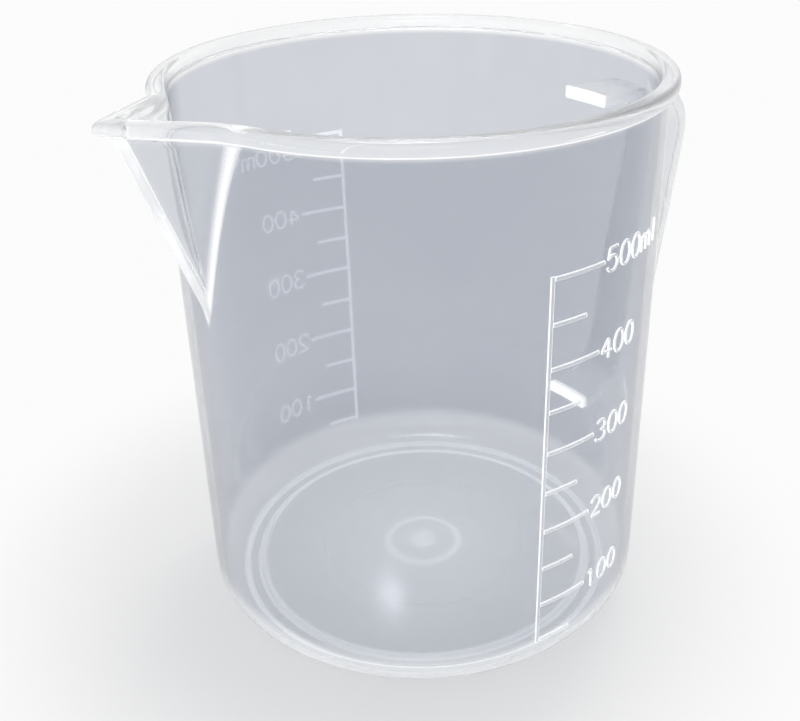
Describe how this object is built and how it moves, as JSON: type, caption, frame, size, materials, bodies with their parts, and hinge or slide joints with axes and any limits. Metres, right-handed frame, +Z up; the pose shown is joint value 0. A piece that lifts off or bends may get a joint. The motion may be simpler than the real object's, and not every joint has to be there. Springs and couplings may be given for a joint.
{
  "type": "measuring cup",
  "caption": "Translucent polypropylene measuring cup with a V pouring spout, flat ear handle, rounded rim bead and raised millilitre scales",
  "frame": {"origin": "on the table, under the middle of the cup's whole length from spout tip to handle", "axes": "+Z up out of the mouth, -X towards the spout, +X towards the handle, Y across the cup"},
  "size_m": [0.1316, 0.0958, 0.1085],
  "materials": {
    "natural_polypropylene": "uncoloured moulded polypropylene, clear with a cool haze, glossy",
    "milky_polypropylene": "the same plastic where it is thicker and seen edge on, milky white, satin gloss"
  },
  "bodies": {
    "root": {"cup_floor": "natural_polypropylene", "foot_ring": "natural_polypropylene", "gate_nub": "natural_polypropylene", "cup_wall": "natural_polypropylene", "rim_bead": "natural_polypropylene", "pouring_spout": "natural_polypropylene", "spout_lip": "natural_polypropylene", "handle": "milky_polypropylene", "front_scale": "natural_polypropylene", "rear_scale": "natural_polypropylene"}
  },
  "joints": []
}
